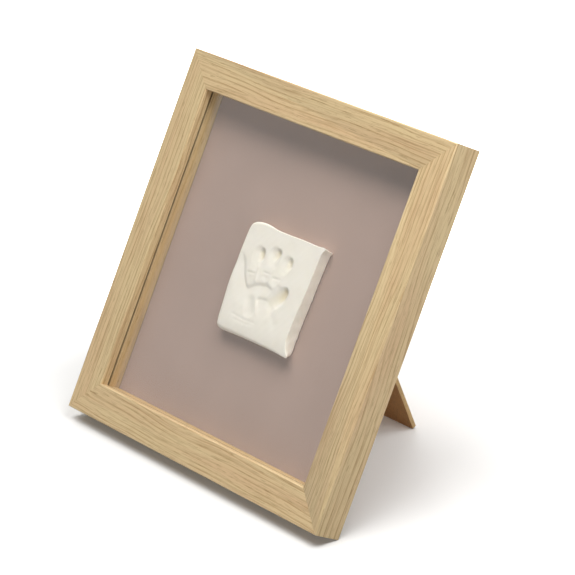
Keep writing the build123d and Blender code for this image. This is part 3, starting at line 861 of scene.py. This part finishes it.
def white_paper(stage):
    """Matt white paper: it takes the shadow, and glows to the eye alone, a little near the frame and fully
    further off, so that it ends in white. It throws only part of its light back, as behind black flags."""
    material, tree = finish("matt_white_paper")
    place = add(tree, "TexCoord", take="Object")
    seen = seen_rays(tree)
    tooth = add(tree, "TexNoise", {"Vector": place, "Scale": 1 / (1.6667 * MM), "Detail": 2})
    grain = add(tree, "MapRange", {0: tooth, 3: 0.985, 4: 1.0})
    returned = add(tree, "MapRange", {0: seen, 3: stage.floor_return, 4: 1.0})
    value = add(tree, "Math", {0: grain, 1: returned}, operation="MULTIPLY")
    paper = add(tree, "HueSaturation", {"Color": stage.floor, "Value": value})
    matt = add(tree, "BsdfDiffuse", {"Color": paper})
    off = add(tree, "VectorMath", {0: place}, operation="LENGTH", take="Value")
    span = {0: off, 1: stage.glow_start, 2: stage.glow_end, 3: stage.floor_glow, 4: 1.0}
    glow = add(tree, "MapRange", span, interpolation_type="SMOOTHSTEP")
    glow = add(tree, "Math", {0: seen, 1: glow}, operation="MULTIPLY")
    light = add(tree, "Emission", {"Color": (1, 1, 1, 1), "Strength": glow})
    both = add(tree, "AddShader", {0: matt, 1: light})
    add(tree, "OutputMaterial", {"Surface": both}, take=None)
    return material


def lay_floor(stage):
    """Lays the paper under the frame and all round it."""
    far = stage.floor_reach
    mesh = bpy.data.meshes.new("studio_floor")
    mesh.from_pydata([(-far, -far, 0), (far, -far, 0), (far, far, 0), (-far, far, 0)], [], [(0, 1, 2, 3)])
    mesh.materials.append(white_paper(stage))
    floor = bpy.data.objects.new("studio_floor", mesh)
    bpy.context.scene.collection.objects.link(floor)


def light_world(stage):
    """A world that is white to the eye, and lights the frame faintly and warmly from all round."""
    world = bpy.data.worlds.new("studio_surround")
    bpy.context.scene.world = world
    world.use_nodes = True
    tree = world.node_tree
    tree.nodes.clear()
    soft = add(tree, "Background", {"Color": stage.surround_tint, "Strength": stage.surround})
    white = add(tree, "Background", {"Color": (1, 1, 1, 1), "Strength": 1.0})
    mixed = add(tree, "MixShader", {0: seen_rays(tree), 1: soft, 2: white})
    add(tree, "OutputWorld", {"Surface": mixed}, take=None)


def hang(lamp, above, right, far):
    """Hangs a lamp in front of the frame, turned to its middle."""
    above, right = math.radians(above), math.radians(right)
    towards = (UP * math.sin(above) - BACK * math.cos(above)) * math.cos(right) + ACROSS * math.sin(right)
    obj = bpy.data.objects.new(lamp.name, lamp)
    obj.location = FACE.translation + towards * far
    obj.rotation_euler = towards.to_track_quat("Z", "Y").to_euler()
    bpy.context.scene.collection.objects.link(obj)
    return obj


FACE = face_matrix()
LEG_BACK = broad_side("easel_leg")


class HANDPRINT_OT_moulding(bpy.types.Operator):
    """Wraps the mouldings and the spacers in oak foil"""

    bl_idname = "handprint.moulding"
    bl_label = "Oak moulding and spacers"

    def execute(self, context):
        oak = context.scene.handprint_oak
        for grain in GRAIN:
            foil = oak_foil("oak_foil_" + grain, grain, oak, figure=0.72)
            # The spacers' foil carries painted shade and painted gap shadows.
            shaded = oak_foil("oak_spacer_foil_painted_shade_" + grain, grain, oak, figure=0.1, walls=True)
            for rail in (name for name, way in RAILS.items() if way == grain):
                dress(rail, foil, oak.edge)
                dress(rail.replace("rail", "spacer"), shaded, oak.edge / 2)
        return {"FINISHED"}


class HANDPRINT_OT_glazing(bpy.types.Operator):
    """Makes the pane of glass, and leaves a hair of air between it and what it touches"""

    bl_idname = "handprint.glazing"
    bl_label = "Glass pane"

    def execute(self, context):
        dress("glass_pane", float_glass(context.scene.handprint_glazing))
        air = nodes["glass_pane"].modifiers.new("hair of air", "DISPLACE")
        air.strength = -0.03 * MM
        air.mid_level = 0
        return {"FINISHED"}


class HANDPRINT_OT_backing(bpy.types.Operator):
    """Finishes the backing card and the foam pads that hold the clay"""

    bl_idname = "handprint.backing"
    bl_label = "Backing card and pads"

    def execute(self, context):
        glazing = context.scene.handprint_glazing
        dress("backing_board", uncoated_card(glazing))
        dress("adhesive_pads", foam_tape(glazing))
        return {"FINISHED"}


class HANDPRINT_OT_clay(bpy.types.Operator):
    """Makes the clay slab with the hand pressed into it"""

    bl_idname = "handprint.clay"
    bl_label = "Clay handprint"

    def execute(self, context):
        clay = context.scene.handprint_clay
        points, faces, pressed = clay_slab(clay)
        slab = solid("pressed_clay_slab", points, faces, dried_clay(clay), "frame", "clay_print")
        depth = slab.data.attributes.new("pressed", "FLOAT", "POINT")
        depth.data.foreach_set("value", pressed.astype(np.float32))
        return {"FINISHED"}


class HANDPRINT_OT_fibreboard(bpy.types.Operator):
    """Finishes the back panel and the easel leg in bare fibreboard"""

    bl_idname = "handprint.fibreboard"
    bl_label = "Back panel and easel leg"

    def execute(self, context):
        back = context.scene.handprint_back
        panel = pressed_fibreboard("pressed_fibreboard_panel", BACK, UP, back)
        dress("back_panel", panel, 0.2 * MM)
        leg = pressed_fibreboard("pressed_fibreboard_leg", LEG_BACK, LEG_BACK.cross(ACROSS), back)
        dress("easel_leg", leg, 0.3 * MM)
        return {"FINISHED"}


class HANDPRINT_OT_plates(bpy.types.Operator):
    """Finishes the hinge, the corner nails, the turn buttons and the hanger"""

    bl_idname = "handprint.plates"
    bl_label = "Hinge, nails, buttons and hanger"

    def execute(self, context):
        back = context.scene.handprint_back
        zinc = plated_metal("zinc_plated_steel", back.zinc, smooth=0.28, dull=0.46, scuff=0.86)
        brass = plated_metal("brass_plated_steel", back.brass, smooth=0.24, dull=0.42, scuff=0.8)
        for node in ZINC_PARTS + TURN_BUTTONS:
            dress(node, zinc, back.plate_edge)
        dress("sawtooth_hanger", brass, back.plate_edge / 2)
        return {"FINISHED"}


class HANDPRINT_OT_pins(bpy.types.Operator):
    """Makes the screws of the turn buttons and the rivets of the hinge"""

    bl_idname = "handprint.pins"
    bl_label = "Screws and rivets"

    def execute(self, context):
        back = context.scene.handprint_back
        steel = plated_metal("zinc_plated_screw_steel", back.zinc, smooth=0.22, dull=0.36, scuff=0.85)
        nickel = plated_metal("nickel_plated_rivet_steel", back.rivet, smooth=0.2, dull=0.34, scuff=0.85)
        crossed = partial(cross_recess, back=back)
        points, faces = headed_pins("button_screws", BACK, 20 * MM, 1.3 * MM, crossed)
        solid("cross_head_screws", points, faces, steel, "frame", "button_screws")
        points, faces = headed_pins("panel_rivets", BACK, 10 * MM, 0.8 * MM, no_recess)
        solid("domed_panel_rivets", points, faces, nickel, "frame", "panel_rivets")
        points, faces = headed_pins("leg_rivets", LEG_BACK, 10 * MM, 0.8 * MM, no_recess)
        solid("domed_leg_rivets", points, faces, nickel, "leg", "leg_rivets")
        return {"FINISHED"}


class HANDPRINT_OT_stage(bpy.types.Operator):
    """Lays the floor, hangs the lamps and sets up the camera"""

    bl_idname = "handprint.stage"
    bl_label = "Studio stage"

    def execute(self, context):
        scene = context.scene
        stage = scene.handprint_stage
        scene.view_settings.view_transform = "Standard"
        lay_floor(stage)
        light_world(stage)

        for name, (above, right, far, size, watts) in SOFTBOXES.items():
            lamp = bpy.data.lights.new(name, "AREA")
            lamp.shape = "DISK"
            lamp.size = size
            lamp.energy = watts * stage.softboxes
            box = hang(lamp, above, right, far)
            box.visible_camera = False
        for name, (above, right, strength) in FAR_LAMPS.items():
            lamp = bpy.data.lights.new(name, "SUN")
            lamp.angle = stage.far_width
            lamp.energy = strength * stage.far_lamps
            hang(lamp, above, right, far=2)

        camera = bpy.data.cameras.new("photograph")
        camera.lens = stage.lens
        camera.sensor_width = 36
        camera.clip_start, camera.clip_end = 0.05, 60
        viewer = bpy.data.objects.new("photograph", camera)
        level = math.cos(stage.elevation)
        right, forward = math.sin(stage.azimuth) * level, -math.cos(stage.azimuth) * level
        away = Vector((right, forward, math.sin(stage.elevation)))
        viewer.location = stage.camera_place
        viewer.rotation_euler = away.to_track_quat("Z", "Y").to_euler()
        scene.collection.objects.link(viewer)
        scene.camera = viewer
        return {"FINISHED"}


SETTINGS = {
    "handprint_oak": OakSettings,
    "handprint_glazing": GlazingSettings,
    "handprint_clay": ClaySettings,
    "handprint_back": BackSettings,
    "handprint_stage": StageSettings,
}
OPERATORS = (
    HANDPRINT_OT_moulding,
    HANDPRINT_OT_glazing,
    HANDPRINT_OT_backing,
    HANDPRINT_OT_clay,
    HANDPRINT_OT_fibreboard,
    HANDPRINT_OT_plates,
    HANDPRINT_OT_pins,
    HANDPRINT_OT_stage,
)


class HANDPRINT_PT_frame(bpy.types.Panel):
    """Lists the pieces of the frame with their settings"""

    bl_idname = "HANDPRINT_PT_frame"
    bl_label = "Baby handprint frame"
    bl_space_type = "VIEW_3D"
    bl_region_type = "UI"
    bl_category = "Handprint Frame"

    def draw(self, context):
        for operator in OPERATORS:
            self.layout.operator(operator.bl_idname)
        for name, group in SETTINGS.items():
            box = self.layout.box()
            for field in group.__annotations__:
                box.prop(getattr(context.scene, name), field)


def register():
    """Makes the settings, the operators and the panel known to Blender."""
    for group in SETTINGS.values():
        bpy.utils.register_class(group)
    for name, group in SETTINGS.items():
        setattr(bpy.types.Scene, name, PointerProperty(type=group))
    for entry in (*OPERATORS, HANDPRINT_PT_frame):
        bpy.utils.register_class(entry)


def unregister():
    """Takes them away again."""
    for entry in (HANDPRINT_PT_frame, *reversed(OPERATORS)):
        bpy.utils.unregister_class(entry)
    for name in SETTINGS:
        delattr(bpy.types.Scene, name)
    for group in SETTINGS.values():
        bpy.utils.unregister_class(group)


def main():
    """Makes every piece and the stage."""
    register()
    bpy.ops.handprint.moulding()
    bpy.ops.handprint.glazing()
    bpy.ops.handprint.backing()
    bpy.ops.handprint.clay()
    bpy.ops.handprint.fibreboard()
    bpy.ops.handprint.plates()
    bpy.ops.handprint.pins()
    bpy.ops.handprint.stage()


if __name__ == "__main__":
    main()
